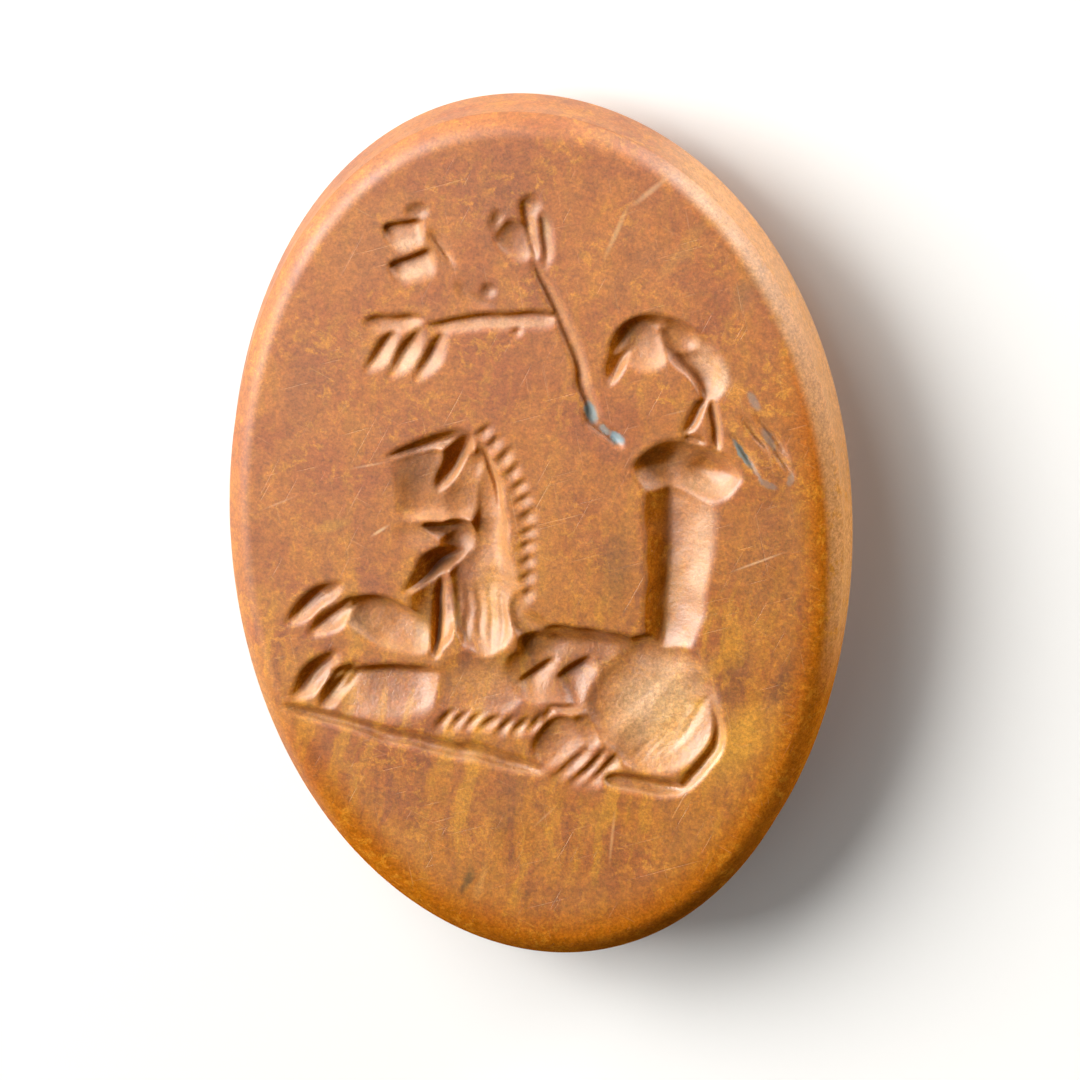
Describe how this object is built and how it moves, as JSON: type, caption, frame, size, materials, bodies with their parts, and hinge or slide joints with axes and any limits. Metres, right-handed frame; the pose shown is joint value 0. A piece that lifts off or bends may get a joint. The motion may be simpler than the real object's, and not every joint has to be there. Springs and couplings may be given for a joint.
{
  "type": "intaglio gem",
  "caption": "Oval ringstone of polished jasper, its face engraved with a lying clawed beast and an upright figure with a stem, to press a seal or set in a ring",
  "frame": {"origin": "middle of the flat back, on the surface that the stone lies on", "axes": "+Y along the oval's long axis, towards the sprays of the picture; +X across, towards the upright figure's back; +Z out of the engraved face"},
  "size_m": [0.0114, 0.016, 0.0026],
  "materials": {
    "jasper": "polished, waxy"
  },
  "bodies": {
    "root": {"gem": "jasper"}
  },
  "joints": []
}
